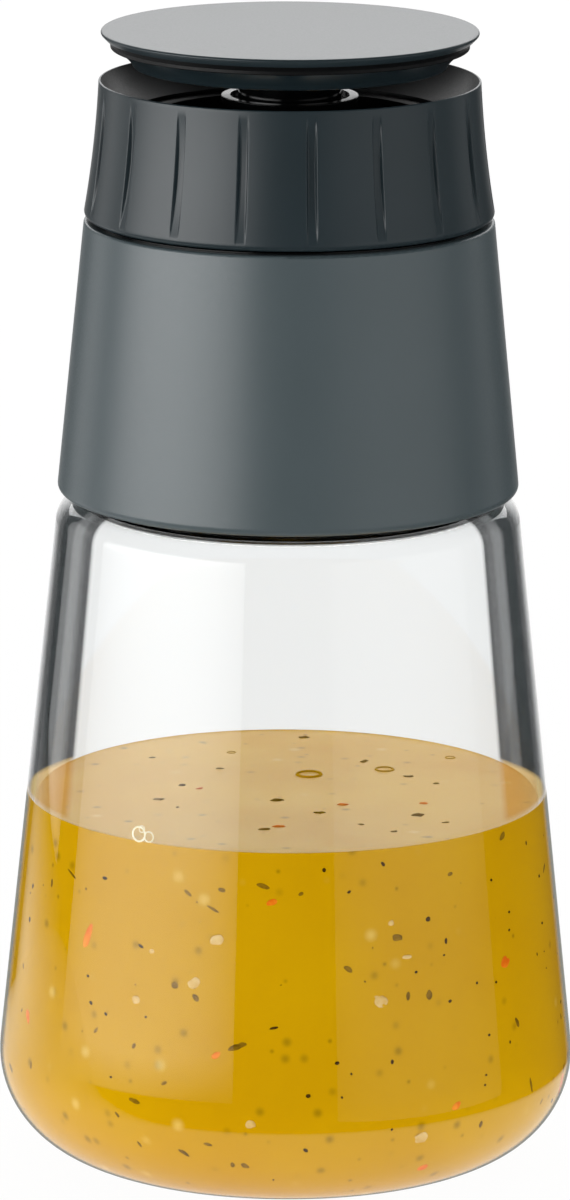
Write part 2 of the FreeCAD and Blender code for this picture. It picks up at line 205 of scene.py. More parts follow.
# The painted grey shade line at the outermost edge beside the filling, on the same scale from 0 to 1
OUTLINE_FROM, OUTLINE_FULL, OUTLINE_SHARE, OUTLINE_TONE, OUTLINE_BLEND = 0.82, 0.88, 0.85, "#b4b7b4", 1


def blown_glass(name, painted_edges, mirror):
    """Blown borosilicate glass, clear and fire polished; lamp light passes straight through to the filling.

    With painted_edges, the wall above the filling gets painted shade where its leaning side is seen edge on,
    in place of the dark surroundings seen through it; just over the filling a painted yellow band stands for
    the filling seen in the edge, and beside the filling a painted grey shade line runs along the outermost
    edge.
    Its reflections have the tone mirror.
    """
    made, tree = new_material(name)
    place = node(tree, "ShaderNodeTexCoord").outputs["Object"]
    haze = node(tree, "ShaderNodeTexNoise", {"Vector": place, "Scale": per_mm(HAZE_WIDTH), "Detail": 3.0})
    rough = node(tree, "ShaderNodeMapRange", {
        0: haze.outputs["Fac"], 1: HAZE_RANGE[0], 2: HAZE_RANGE[1], 3: 0.0, 4: HAZE_ROUGH})
    tone_and_painted_shade = linear(CLEAR_TONE)
    if painted_edges:
        round_about = node(tree, "ShaderNodeVectorMath", {0: place, 1: (1, 1, 0)}, operation="MULTIPLY")
        radial = node(tree, "ShaderNodeVectorMath", {0: round_about}, operation="NORMALIZE")
        leaning = node(tree, "ShaderNodeVectorMath", {0: radial, 1: (0, 0, math.tan(SIDE_LEAN))},
                       operation="ADD")
        outward = node(tree, "ShaderNodeVectorMath", {0: leaning}, operation="NORMALIZE")
        facing = node(tree, "ShaderNodeLayerWeight", {"Blend": 0.5, "Normal": outward}).outputs["Facing"]
        height = node(tree, "ShaderNodeSeparateXYZ", {0: place}).outputs["Z"]
        far_rim = node(tree, "ShaderNodeMapRange", {0: facing, 3: FAR_RIM_RISE * MM, 4: 0.0})
        over_rim = node(tree, "ShaderNodeMath", {0: height, 1: far_rim}, operation="SUBTRACT")
        # Painted shade over the filling by the angle of view, and just over it a painted yellow band for the
        # filling seen in the edge
        for level, start, stops in ((height, FILL_Z + LEVEL_RISE, EDGE_PAINTED_AT_LEVEL),
                                    (over_rim, FILL_Z, EDGE_PAINTED_SHADE)):
            painted_tone = node(tree, "ShaderNodeValToRGB", {0: facing})
            painted_tone.color_ramp.elements[0].color = linear(stops[0][1])
            painted_tone.color_ramp.elements[1].color = linear(stops[-1][1])
            for spot, code in stops:
                painted_tone.color_ramp.elements.new(spot).color = linear(code)
            above = node(tree, "ShaderNodeMapRange", {0: level, 1: start * MM, 2: (start + LEVEL_BLEND) * MM})
            tone_and_painted_shade = node(tree, "ShaderNodeMix", {0: above, 6: tone_and_painted_shade, 7: painted_tone}, data_type="RGBA").outputs[2]
    shader = node(tree, "ShaderNodeBsdfPrincipled", {
        "Base Color": tone_and_painted_shade, "Roughness": rough, "IOR": GLASS_INDEX, "Transmission Weight": 1.0,
        "Specular Tint": linear(mirror)})
    # A painted grey shade line along the outermost edge beside the filling
    if painted_edges:
        grazing = node(tree, "ShaderNodeLayerWeight", {"Blend": 0.5}).outputs["Facing"]
        edge = node(tree, "ShaderNodeMapRange", {
            0: grazing, 1: OUTLINE_FROM, 2: OUTLINE_FULL, 3: 0.0, 4: OUTLINE_SHARE})
        beside = node(tree, "ShaderNodeMapRange", {
            0: height, 1: FILL_Z * MM, 2: (FILL_Z + OUTLINE_BLEND) * MM, 3: 1.0, 4: 0.0})
        share = node(tree, "ShaderNodeMath", {0: edge, 1: beside}, operation="MULTIPLY")
        outline = node(tree, "ShaderNodeBsdfTransparent", {"Color": linear(OUTLINE_TONE)})
        shader = node(tree, "ShaderNodeMixShader", {0: share, 1: shader, 2: outline})
    path = node(tree, "ShaderNodeLightPath")
    passing = node(tree, "ShaderNodeMath", {
        0: path.outputs["Is Shadow Ray"], 1: path.outputs["Is Diffuse Ray"]}, operation="MAXIMUM")
    clear = node(tree, "ShaderNodeBsdfTransparent", {"Color": linear(LIGHT_TONE)})
    both = node(tree, "ShaderNodeMixShader", {0: passing, 1: shader, 2: clear})
    node(tree, "ShaderNodeOutputMaterial", {"Surface": both})
    return made


# Bits too deep in the dressing to show an edge: spacing and reach in millimetres, tone, strength
DEEP_BITS = ((4.2, 1.0, "#6b5208", 0.55), (6.5, 1.3, "#e3c473", 0.5), (3.1, 0.5, "#5a4405", 0.5))
# The share of the pattern's cells that hold no such bit
DEEP_BITS_EMPTY = 0.5


def dressing_material(name, deep, pale, gloss, roughness):
    """Oil and vinegar emulsion: a deep yellow with drifting paler clouds and bits that fade into it."""
    made, tree = new_material(name)
    place = node(tree, "ShaderNodeTexCoord").outputs["Object"]
    tone = two_tones(tree, place, CLOUD_WIDTH, 4.0, deep, pale, CLOUD_RANGE)
    for spacing, reach, colour, strength in DEEP_BITS:
        cells = node(tree, "ShaderNodeTexVoronoi", {"Vector": place, "Scale": per_mm(spacing)})
        soft = node(tree, "ShaderNodeMapRange",
                    {0: cells.outputs["Distance"], 2: reach / spacing, 3: strength, 4: 0.0},
                    interpolation_type="SMOOTHSTEP")
        chosen = node(tree, "ShaderNodeMath", {0: cells.outputs["Color"], 1: DEEP_BITS_EMPTY},
                      operation="GREATER_THAN")
        shown = node(tree, "ShaderNodeMath", {0: soft, 1: chosen}, operation="MULTIPLY")
        tone = node(tree, "ShaderNodeMix", {0: shown, 6: tone, 7: linear(colour)},
                    data_type="RGBA").outputs[2]
    shader = node(tree, "ShaderNodeBsdfPrincipled", {
        "Base Color": tone, "Roughness": roughness, "Specular IOR Level": gloss})
    node(tree, "ShaderNodeOutputMaterial", {"Surface": shader})
    return made


def bit_material(name, dark, pale, roughness):
    """Bits of herb, spice or vegetable, mottled from one to the next, without gloss in the wet dressing."""
    made, tree = new_material(name)
    place = node(tree, "ShaderNodeTexCoord").outputs["Object"]
    tone = two_tones(tree, place, MOTTLE_WIDTH, 2.0, dark, pale, MOTTLE_RANGE)
    shader = node(tree, "ShaderNodeBsdfPrincipled", {
        "Base Color": tone, "Roughness": roughness, "Specular IOR Level": 0.0})
    node(tree, "ShaderNodeOutputMaterial", {"Surface": shader})
    return made


steel = turned_steel()
# The outside mirrors the lamps in full; the inside does so weakly, so that few double images show
glass_outside = blown_glass("blown_borosilicate_glass", painted_edges=True, mirror="#ffffff")
glass_inside = blown_glass("blown_glass_inside", painted_edges=False, mirror="#404040")
# Emulsion that wets the glass has no gloss of its own; its open surface is paler and has an oily sheen
dressing_side = dressing_material("dressing_against_glass", "#bf8e00", "#c49500", gloss=0.0, roughness=0.6)
dressing_top = dressing_material("dressing_open_surface", "#d29c14", "#dbac34", gloss=0.03, roughness=0.3)
# Dried herb: olive brown
herb = bit_material("dried_herb", "#6c4e08", "#8c680e", roughness=0.7)
# Ground pepper: nearly black
pepper = bit_material("ground_pepper", "#2a1a05", "#503609", roughness=0.7)
# Carrot: a clear orange
carrot = bit_material("carrot_bits", "#d8640c", "#e88a20", roughness=0.6)
# Onion: a pale straw tone
onion = bit_material("onion_bits", "#c8a057", "#d8b97c", roughness=0.6)
# Foam: the cream white films of bubbles at the glass, drawn pale enough to stand for their white highlight
# too: partly the films' own tone and partly a painted highlight
foam_and_painted_highlight = bit_material("foam_bubble_and_painted_highlight", "#e6d6a2", "#f6eed6", roughness=0.3)

finishes = {
    "neck_gasket": silicone, "screw_collar": black_abs, "grip_sleeve": soft_touch,
    "glide_washer": black_abs, "guide_tube": black_abs, "tube_o_ring": silicone,
    "cam_sleeve": black_abs, "lid_seal": silicone, "lid_carrier": black_abs, "cam_pins": steel,
}
for name, finish in finishes.items():
    for slot in nodes[name].material_slots:
        slot.material = finish


# Flask and dressing

def rounded_path(corners, run=1.5, turn=4.0):
    """Points of an open outline of (radius, height, rounding) corners, in short runs and small turns."""
    spots = [Vector(corner[:2]) for corner in corners]
    bends = []
    for i, here in enumerate(spots):
        rounding = corners[i][2]
        if not rounding:
            bends.append([here])
            continue
        back = (spots[i - 1] - here).normalized()
        ahead = (spots[i + 1] - here).normalized()
        half = back.angle(ahead) / 2
        centre = here + (back + ahead).normalized() * (rounding / math.sin(half))
        arm = here + back * (rounding / math.tan(half)) - centre
        sweep = math.copysign(math.pi - 2 * half, back.cross(ahead) * -1)
        steps = max(2, math.ceil(math.degrees(abs(sweep)) / turn))
        bends.append([centre + Matrix.Rotation(sweep * k / steps, 2) @ arm for k in range(steps + 1)])
    path = []
    for i, bend in enumerate(bends):
        path += bend
        if i + 1 < len(bends):
            start, end = bend[-1], bends[i + 1][0]
            count = max(1, math.ceil((end - start).length / run))
            path += [start.lerp(end, k / count) for k in range(1, count)]
    return path


def mesh_object(name, points, faces, materials):
    """A smooth mesh object at the origin; points are in millimetres."""
    mesh = bpy.data.meshes.new(name)
    mesh.from_pydata([tuple(c * MM for c in p) for p in points], [], faces)
    for material in materials:
        mesh.materials.append(material)
    mesh.polygons.foreach_set("use_smooth", [True] * len(mesh.polygons))
    mesh.set_sharp_from_angle(angle=SHARP_ANGLE)
    mesh.update()
    made = bpy.data.objects.new(name, mesh)
    scene.collection.objects.link(made)
    return made


def turned(name, path, materials, swell=None, second_from=None):
    """A closed mesh of revolution: its path starts and ends on the axis, or runs round a bore and closes.

    swell gives what a point stands out by. Rows of faces from second_from on take the second material.
    """
    points, rows, faces, slots = [], [], [], []
    for radius, height in path:
        count = 1 if radius < ON_AXIS else SEGMENTS
        rows.append(range(len(points), len(points) + count))
        for j in range(count):
            angle = 2 * math.pi * j / SEGMENTS
            reach = radius + (swell(radius, height, angle) if swell else 0)
            points.append((reach * math.cos(angle), reach * math.sin(angle), height))
    if path[0][0] > 0:
        rows.append(rows[0])
    for k, (low, high) in enumerate(zip(rows, rows[1:])):
        for j in range(SEGMENTS):
            n = (j + 1) % SEGMENTS
            if len(low) == 1:
                faces.append((low[0], high[n], high[j]))
            elif len(high) == 1:
                faces.append((low[j], low[n], high[0]))
            else:
                faces.append((low[j], low[n], high[n], high[j]))
            slots.append(1 if second_from is not None and k >= second_from else 0)
    made = mesh_object(name, points, faces, materials)
    made.data.polygons.foreach_set("material_index", slots)
    return made


def side_radius(height, inset=0.0):
    """Radius of the flask's leaning side at a height, or of a surface that lies inside it by inset."""
    return (SHOULDER_RADIUS + (SHOULDER_Z - height) * math.tan(SIDE_LEAN)
            - inset / math.cos(SIDE_LEAN))


# Thread on the neck: it runs out over a share of a turn at its ends, and an arch below 1 makes it fuller
THREAD_FOOT, THREAD_PITCH, THREAD_TURNS, THREAD_RISE, THREAD_WIDTH = 103.5, 4.2, 2.5, 0.7, 2.2
THREAD_RUN_OUT, THREAD_ARCH = 0.08, 0.8
# Fine rows start this far under the thread and end this far down inside the rim, with these runs and turns
THREAD_MARGIN, RIM_DEPTH, FINE_RUN, FINE_TURN = 2, 3, 0.3, 10
# A row counts as one of the neck's within this of its radius
ON_NECK = 0.01


def neck_thread(radius, height, angle):
    """How far the moulded thread stands out of the neck at one point."""
    if abs(radius - NECK_RADIUS) > ON_NECK:
        return 0.0
    best = 0.0
    for lap in range(math.ceil(THREAD_TURNS)):
        place = angle / (2 * math.pi) + lap
        off = abs(height - THREAD_FOOT - THREAD_PITCH * place) / (THREAD_WIDTH / 2)
        ends = min(1.0, place / THREAD_RUN_OUT, (THREAD_TURNS - place) / THREAD_RUN_OUT)
        if off < 1 and ends > 0:
            best = max(best, THREAD_RISE * ends * math.cos(off * math.pi / 2) ** THREAD_ARCH)
    return best


def flask_path():
    """Outline of the flask's wall: foot, side, shoulder and neck outside, then back down inside."""
    inner_z = SHOULDER_Z - WALL
    bore = NECK_RADIUS - NECK_WALL
    outside = rounded_path([
        (0, 0, 0), (side_radius(0), 0, FOOT_ROUND),
        (SHOULDER_RADIUS, SHOULDER_Z, SHOULDER_ROUND),
        (NECK_RADIUS, SHOULDER_Z, NECK_ROOT_ROUND),
        (NECK_RADIUS, THREAD_FOOT - THREAD_MARGIN, 0),
    ])
    neck = rounded_path([
        (NECK_RADIUS, THREAD_FOOT - THREAD_MARGIN, 0), (NECK_RADIUS, RIM_Z, NECK_RIM_ROUND),
        (bore, RIM_Z, NECK_RIM_ROUND), (bore, RIM_Z - RIM_DEPTH, 0),
    ], run=FINE_RUN, turn=FINE_TURN)
    inside = rounded_path([
        (bore, RIM_Z - RIM_DEPTH, 0), (bore, inner_z, NECK_ROOT_ROUND + WALL),
        (side_radius(inner_z, WALL), inner_z, SHOULDER_ROUND - WALL),
        (side_radius(FLOOR, WALL), FLOOR, FOOT_ROUND - WALL), (0, FLOOR, 0),
    ])
    return outside + neck[1:], inside[1:]


outside, inside = flask_path()
flask = turned("flask_glass", outside + inside, [glass_outside, glass_inside], swell=neck_thread,
               second_from=len(outside) - 1)
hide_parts("glass_flask")
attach(flask, "flask")

# The filling reaches a little into the glass, so that no film of air shows between them
CONTACT = 0.06
FILLING_INSET, FILLING_FOOT = WALL - CONTACT, FLOOR - CONTACT
MENISCUS_RISE, MENISCUS_REACH = 0.2, 0.6
# How far from the glass the rows of the surface lie, close together where it curves
SURFACE_ROWS = (0.08, 0.2, 0.35, 0.55, 0.8, 1.1, 1.5, 2.0, 2.7, 3.6, 5.0, 8.0, 14.0, 22.0, 30.0)
top_radius = side_radius(FILL_Z + MENISCUS_RISE, FILLING_INSET)
filling = rounded_path([
    (0, FILLING_FOOT, 0),
    (side_radius(FILLING_FOOT, FILLING_INSET), FILLING_FOOT, FOOT_ROUND - WALL + CONTACT),
    (top_radius, FILL_Z + MENISCUS_RISE, 0),
])
side_rows = len(filling) - 1
for depth in SURFACE_ROWS + (top_radius,):
    filling.append(Vector((top_radius - depth, FILL_Z + MENISCUS_RISE * math.exp(-depth / MENISCUS_REACH))))
dressing = turned("dressing_body", filling, [dressing_side, dressing_top], second_from=side_rows)
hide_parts("dressing")
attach(dressing, "flask")


# Twist ring: one flute's share of it, repeated round the axis

RING_FOOT_Z, RING_RIM_Z = (corner.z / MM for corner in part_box("twist_ring"))
RING_FOOT_RADIUS, RING_RIM_RADIUS, RING_WAIST, RING_FOOT_ROUND, RING_RIM_ROUND = 28.4, 26.26, 0.3, 0.8, 0.15
RING_BORE, RING_LIP_Z, RING_LIP_RADIUS, RING_LIP_THICKNESS = 23.55, 147.0, 21.9, 0.5
RING_SEAT_Z, RING_SEAT_RADIUS, RING_FUNNEL_RADIUS = 149.45, 24.7, 26.0
FLUTE_COUNT, FLUTE_PHASE = 18, math.radians(-83.6)
FLUTE_WIDTH, FLUTE_DEPTH, FLUTE_MARGIN, FLUTE_EDGE = 1.25, 0.6, 1.0, 0.3
# Rows of the ring's mesh up its bend and its wall, and its columns from the middle of a flute outwards
RING_BEND_ROWS, RING_WALL_ROWS, FLUTE_EDGE_COLUMNS = 6, 44, 8
FLUTE_MIDDLE, FLUTE_BORDER, PLAIN_COLUMNS = 0.25, 0.1, [1.5, 2.4, 3.6]


def ring_radius(height):
    """Outer radius of the waisted ring at a height, between its flutes."""
    t = (height - RING_FOOT_Z) / (RING_RIM_Z - RING_FOOT_Z)
    return RING_FOOT_RADIUS + (RING_RIM_RADIUS - RING_FOOT_RADIUS) * t - 4 * RING_WAIST * t * (1 - t)


def flute_depth(across, height):
    """How deep a flute is: deepest halfway up, and running out to nothing at both ends."""
    t = (height - RING_FOOT_Z - FLUTE_MARGIN) / (RING_RIM_Z - RING_FOOT_Z - 2 * FLUTE_MARGIN)
    share = min(1.0, max(0.0, 0.5 + (FLUTE_WIDTH / 2 - abs(across)) / FLUTE_EDGE))
    return FLUTE_DEPTH * max(0.0, 1 - (2 * t - 1) ** 2) * share ** 2 * (3 - 2 * share)


def ring_sector():
    """Mesh of one flute and half the plain ring on each side of it."""
    bend_z = RING_FOOT_Z + RING_FOOT_ROUND
    bend_radius = ring_radius(bend_z) - RING_FOOT_ROUND
    profile = []
    for k in range(RING_BEND_ROWS + 1):
        turn = math.radians(90 * k / RING_BEND_ROWS)
        profile.append((bend_radius + RING_FOOT_ROUND * math.sin(turn),
                        bend_z - RING_FOOT_ROUND * math.cos(turn)))
    wall_top = RING_RIM_Z - RING_RIM_ROUND
    for k in range(1, RING_WALL_ROWS + 1):
        height = bend_z + (wall_top - bend_z) * k / RING_WALL_ROWS
        profile.append((ring_radius(height), height))
    fluted_rows = len(profile)
    for turn in QUARTER_TURNS:
        turn = math.radians(turn)
        profile.append((ring_radius(wall_top) - RING_RIM_ROUND * (1 - math.cos(turn)),
                        wall_top + RING_RIM_ROUND * math.sin(turn)))
    # The rows from here on are the inside of the ring, which gets painted shade
    painted_shade_from = len(profile)
    under_lip_z = RING_LIP_Z - RING_LIP_THICKNESS
    profile += [(RING_FUNNEL_RADIUS, RING_RIM_Z), (RING_SEAT_RADIUS, RING_SEAT_Z),
                (RING_LIP_RADIUS, RING_LIP_Z), (RING_LIP_RADIUS, under_lip_z), (RING_BORE, under_lip_z),
                (RING_BORE, RING_FOOT_Z)]
    mean = (RING_FOOT_RADIUS + RING_RIM_RADIUS) / 2
    half_pitch = math.pi * mean / FLUTE_COUNT
    edge = [FLUTE_WIDTH / 2 + FLUTE_EDGE * (k / FLUTE_EDGE_COLUMNS - 0.5)
            for k in range(FLUTE_EDGE_COLUMNS + 1)]
    across = [0, FLUTE_MIDDLE] + edge + [edge[-1] + FLUTE_BORDER] + PLAIN_COLUMNS + [half_pitch]
    across = [-u for u in reversed(across[1:])] + across
    points, faces = [], []
    for i, (radius, height) in enumerate(profile):
        for u in across:
            reach = radius - (flute_depth(u, height) if i < fluted_rows else 0)
            points.append((reach * math.cos(u / mean), reach * math.sin(u / mean), height))
    wide = len(across)
    for i in range(len(profile)):
        n = (i + 1) % len(profile)
        faces += [(i * wide + j, i * wide + j + 1, n * wide + j + 1, n * wide + j) for j in range(wide - 1)]
    painted_shade_inside = [i >= painted_shade_from for i in range(len(profile)) for j in range(wide - 1)]
    return points, faces, painted_shade_inside


def node_group(name, inputs):
    """A Geometry Nodes tree with named inputs beside its geometry, and the outputs of its input node."""
    tree = bpy.data.node_groups.new(name, "GeometryNodeTree")
    tree.interface.new_socket("Geometry", in_out="INPUT", socket_type="NodeSocketGeometry")
    for label, kind in inputs:
        tree.interface.new_socket(label, in_out="INPUT", socket_type="NodeSocket" + kind)
    tree.interface.new_socket("Geometry", in_out="OUTPUT", socket_type="NodeSocketGeometry")
    return tree, node(tree, "NodeGroupInput").outputs


def grown(made, tree, values):
    """Run a Geometry Nodes tree on an object and keep the result as its plain mesh."""
    modifier = made.modifiers.new(tree.name, "NODES")
    modifier.node_group = tree
    for item in tree.interface.items_tree:
        if item.in_out == "INPUT" and item.name in values:
            modifier[item.identifier] = values[item.name]
    depsgraph = bpy.context.evaluated_depsgraph_get()
    mesh = bpy.data.meshes.new_from_object(made.evaluated_get(depsgraph))
    made.modifiers.remove(modifier)
    old, made.data = made.data, mesh
    mesh.name = made.name
    bpy.data.meshes.remove(old)
    mesh.set_sharp_from_angle(angle=SHARP_ANGLE)


# Points of two sectors that lie closer than this are one
SEAM_WIDTH = 0.0005


def round_the_axis():
    """Tree that repeats a sector round the Z axis and joins the copies into one closed ring."""
    tree, given = node_group("sectors_round_the_axis", [
        ("Count", "Int"), ("Phase", "Float"), ("Finish", "Material"), ("Painted Shade Inside", "Material")])
    places = node(tree, "GeometryNodePoints", {"Count": given["Count"]})
    pitch = node(tree, "ShaderNodeMath", {0: math.tau, 1: given["Count"]}, operation="DIVIDE")
    number = node(tree, "GeometryNodeInputIndex")
    turn = node(tree, "ShaderNodeMath", {0: number, 1: pitch, 2: given["Phase"]}, operation="MULTIPLY_ADD")
    spin = node(tree, "ShaderNodeCombineXYZ", {"Z": turn})
    facing = node(tree, "FunctionNodeEulerToRotation", {0: spin})
    copies = node(tree, "GeometryNodeInstanceOnPoints", {
        "Points": places, "Instance": given["Geometry"], "Rotation": facing})
    whole = node(tree, "GeometryNodeRealizeInstances", {0: copies})
    joined = node(tree, "GeometryNodeMergeByDistance", {"Geometry": whole, "Distance": SEAM_WIDTH * MM})
    coated = node(tree, "GeometryNodeSetMaterial", {"Geometry": joined, "Material": given["Finish"]})
    inner = node(tree, "GeometryNodeInputNamedAttribute", {"Name": "painted_shade_inside"}, data_type="BOOLEAN")
    shade_set = node(tree, "GeometryNodeSetMaterial", {
        "Geometry": coated, "Selection": inner.outputs["Attribute"], "Material": given["Painted Shade Inside"]})
    node(tree, "NodeGroupOutput", {0: shade_set})
    return tree


sector_points, sector_faces, sector_painted_shade_inside = ring_sector()
ring = mesh_object("fluted_ring", sector_points, sector_faces, [])
ring.data.attributes.new("painted_shade_inside", "BOOLEAN", "FACE").data.foreach_set("value", sector_painted_shade_inside)
# The ring's inside takes the nearly black material, which is painted shade
grown(ring, round_the_axis(), {
    "Count": FLUTE_COUNT, "Phase": FLUTE_PHASE, "Finish": grey_abs, "Painted Shade Inside": painted_shade_abs})
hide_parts("twist_ring")
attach(ring, "ring")


# Thread inside the collar, between the laps of the neck's own

COLLAR_THREAD_RADIUS, COLLAR_THREAD_SIZE, COLLAR_THREAD_TURNS = 24.27, 0.42, 2.0
COLLAR_THREAD_FOOT = THREAD_FOOT + THREAD_PITCH / 2
SPIRAL_STEPS, RIDGE_SIDES = 96, 10


def spiral_tree():
    """Tree that sweeps a round ridge along a rising spiral, closed at both ends."""
    tree, given = node_group("ridge_on_a_spiral", [
        ("Turns", "Float"), ("Radius", "Float"), ("Rise", "Float"), ("Foot", "Float"), ("Size", "Float"),
        ("Finish", "Material")])
    spiral = node(tree, "GeometryNodeCurveSpiral", {
        "Resolution": SPIRAL_STEPS, "Rotations": given["Turns"], "Start Radius": given["Radius"],
        "End Radius": given["Radius"], "Height": given["Rise"]})
    lift = node(tree, "ShaderNodeCombineXYZ", {"Z": given["Foot"]})
    raised = node(tree, "GeometryNodeTransform", {"Geometry": spiral, "Translation": lift})
    section = node(tree, "GeometryNodeCurvePrimitiveCircle", {
        "Resolution": RIDGE_SIDES, "Radius": given["Size"]})
    ridge = node(tree, "GeometryNodeCurveToMesh", {
        "Curve": raised, "Profile Curve": section, "Fill Caps": True})
    whole = node(tree, "GeometryNodeRealizeInstances", {0: ridge})
    coated = node(tree, "GeometryNodeSetMaterial", {"Geometry": whole, "Material": given["Finish"]})
    node(tree, "NodeGroupOutput", {0: coated})
    return tree


thread = mesh_object("collar_thread", [], [], [])
grown(thread, spiral_tree(), {
    "Turns": COLLAR_THREAD_TURNS, "Radius": COLLAR_THREAD_RADIUS * MM, "Foot": COLLAR_THREAD_FOOT * MM,
    "Rise": THREAD_PITCH * COLLAR_THREAD_TURNS * MM, "Size": COLLAR_THREAD_SIZE * MM, "Finish": black_abs})
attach(thread, "collar")


# Lid: the disc with its eased edge, and the grey and black plug under it

LID_RADIUS, LID_TOP_Z, LID_CROWN, LID_EDGE_ROUND = 26.0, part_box("lid_disc")[1].z / MM, 0.4, 0.28
LID_UNDER_RADIUS, LID_UNDER_Z, LID_EDGE_RADIUS = 25.2, 157.25, 26.32
LID_UNDER_ROUND, LID_EDGE_RUN, LID_TURN, CROWN_ROWS = 0.1, 1.4, 8, 14
STEM_RADIUS, STEM_FOOT_Z, STEM_ROUND = 3.5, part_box("lid_disc")[0].z / MM, 0.3


def crown_z(radius):
    """Height of the lid's gently domed top."""
    return LID_TOP_Z - LID_CROWN * (radius / LID_RADIUS) ** 2


crown_start = LID_RADIUS - LID_EDGE_RUN
lid_path = rounded_path([
    (0, STEM_FOOT_Z, 0), (STEM_RADIUS, STEM_FOOT_Z, STEM_ROUND), (STEM_RADIUS, LID_UNDER_Z, 0),
    (LID_UNDER_RADIUS, LID_UNDER_Z, LID_UNDER_ROUND),
    (LID_EDGE_RADIUS, crown_z(LID_EDGE_RADIUS), LID_EDGE_ROUND), (crown_start, crown_z(crown_start), 0),
], turn=LID_TURN)
lid_path += [Vector((radius, crown_z(radius))) for radius in np.linspace(crown_start, 0, CROWN_ROWS)[1:]]
lid = turned("lid_top", lid_path, [grey_abs])
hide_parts("lid_disc")
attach(lid, "lid")

PLUG_FOOT_Z, PLUG_TOP_Z = (corner.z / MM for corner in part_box("pour_cone"))
# The hub under the flare ends in a lip with a groove inside it, from which a thinner neck rises
PLUG_BORE, HUB_RADIUS, HUB_NECK_RADIUS = 3.55, 9.45, 7.1
LIP_Z, LIP_WIDTH, LIP_DEPTH, LIP_ROUND = 149.5, 1.3, 0.9, 0.12
HUB_ROOT_ROUND = 1.5
FLARE_FOOT_Z, FLARE_FOOT_RADIUS, FLARE_FOOT_ROUND = 153.5, 21.7, 0.4
FLARE_TOP_Z, FLARE_TOP_RADIUS, SPIGOT_RADIUS, FLARE_BOW, FLARE_ROWS = 156.05, 24.15, 20.35, 0.2, 8
trumpet = rounded_path([
    (PLUG_BORE, PLUG_FOOT_Z, 0), (HUB_RADIUS, PLUG_FOOT_Z, 0), (HUB_RADIUS, LIP_Z, LIP_ROUND),
    (HUB_RADIUS - LIP_WIDTH, LIP_Z, LIP_ROUND), (HUB_RADIUS - LIP_WIDTH, LIP_Z - LIP_DEPTH, LIP_ROUND),
    (HUB_NECK_RADIUS, LIP_Z - LIP_DEPTH, LIP_ROUND), (HUB_NECK_RADIUS, FLARE_FOOT_Z, HUB_ROOT_ROUND),
    (FLARE_FOOT_RADIUS - FLARE_FOOT_ROUND, FLARE_FOOT_Z, 0),
])
flare = [Vector((FLARE_FOOT_RADIUS - FLARE_FOOT_ROUND * (1 - math.sin(turn)),
                 FLARE_FOOT_Z + FLARE_FOOT_ROUND * (1 - math.cos(turn))))
         for turn in np.radians(QUARTER_TURNS)]
flare_foot, flare_top = flare[-1], Vector((FLARE_TOP_RADIUS, FLARE_TOP_Z))
flare_side = Vector((flare_top - flare_foot).orthogonal()).normalized()
for t in np.linspace(0, 1, FLARE_ROWS + 1)[1:]:
    flare.append(flare_foot.lerp(flare_top, t) + flare_side * (4 * FLARE_BOW * t * (1 - t)))
flare += [Vector(corner) for corner in (
    (SPIGOT_RADIUS, FLARE_TOP_Z), (SPIGOT_RADIUS, PLUG_TOP_Z), (PLUG_BORE, PLUG_TOP_Z))]
plug = turned("pour_plug", trumpet + flare, [black_abs, grey_abs], second_from=len(trumpet) - 1)
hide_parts("pour_cone")
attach(plug, "lid")


# Bits and bubbles in the dressing

# Bits against the glass that face the camera: x and y in the photograph's pixels, then length and width in
# millimetres and tilt in degrees
HERB_PLACES = (
    (72, 874, 2.3, 0.35, -25), (52, 883, 1.2, 0.5, 90), (188, 893, 1.4, 0.55, -35),
    (222, 890, 1.1, 0.7, -20), (213, 909, 1.9, 0.4, -25), (263, 886, 1.9, 0.65, -15),
    (502, 836, 1.6, 0.8, 35), (301, 894, 0.8, 0.5, 30), (450, 874, 0.9, 0.55, 0), (237, 1047, 3.0, 0.9, 20),
    (196, 998, 1.3, 0.7, -45), (175, 985, 1.1, 0.8, -30), (134, 1046, 0.9, 0.5, 60),
    (96, 1030, 1.1, 0.45, 50), (134, 1101, 1.9, 0.7, -12), (116, 1115, 0.9, 0.4, -50),
    (137, 1144, 1.0, 0.4, -60), (182, 1153, 1.7, 0.6, -35), (207, 1145, 1.3, 0.55, -10),
    (231, 1165, 1.0, 0.6, 85), (244, 1166, 1.3, 0.8, -45), (348, 969, 1.5, 0.7, -35),
    (408, 996, 1.3, 0.6, 80), (429, 995, 1.5, 0.9, 95), (517, 1022, 1.6, 0.7, -65),
    (532, 1085, 2.4, 0.5, -70), (543, 1101, 0.9, 0.4, 60), (164, 1083, 1.0, 0.5, 30),
    (31, 1065, 1.1, 0.5, 95), (483, 1124, 1.1, 0.7, 80), (397, 938, 1.6, 1.0, -15),
)
